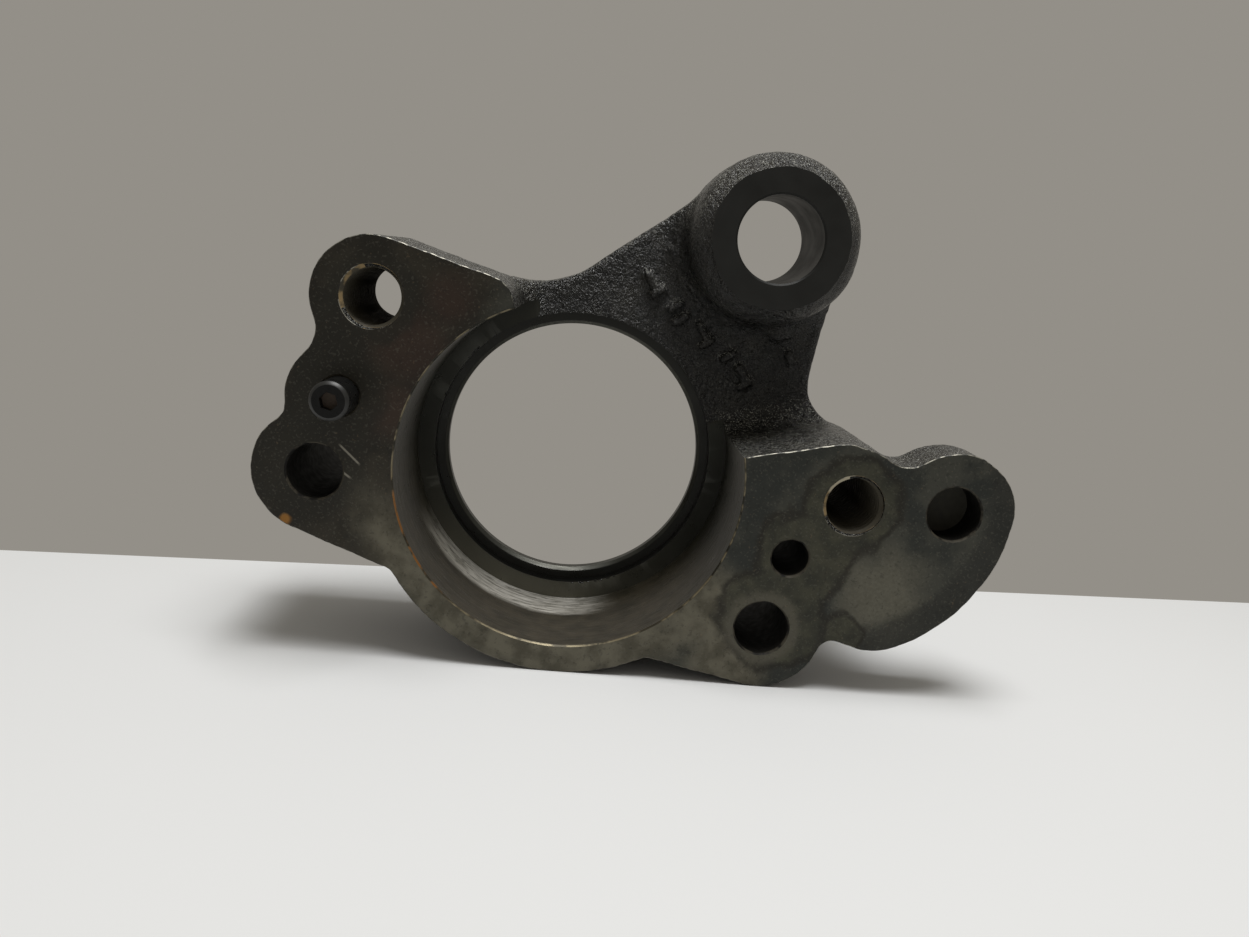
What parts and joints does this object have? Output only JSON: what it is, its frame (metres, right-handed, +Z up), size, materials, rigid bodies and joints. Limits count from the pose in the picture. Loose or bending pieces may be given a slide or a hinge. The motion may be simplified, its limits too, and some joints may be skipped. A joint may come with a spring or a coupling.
{
  "type": "bearing housing",
  "caption": "Cast bearing housing with a windowed stepped bore, bolt lugs, a tapered lobe, a pivot eye on an ear and a locating pin.",
  "frame": {"origin": "bearing axis, on the front machined face", "axes": "-Y out of the bore through the front face, +Z up with the part standing on its hub and lower right boss, +X to the right from the front"},
  "size_m": [0.2408, 0.071, 0.1714],
  "materials": {
    "casting": "oiled black cast iron, machined grey on its faces and bores",
    "pin_steel": "black oxide with bright worn edges"
  },
  "bodies": {
    "root": {"housing": "casting", "locating_pin": "pin_steel"}
  },
  "joints": []
}
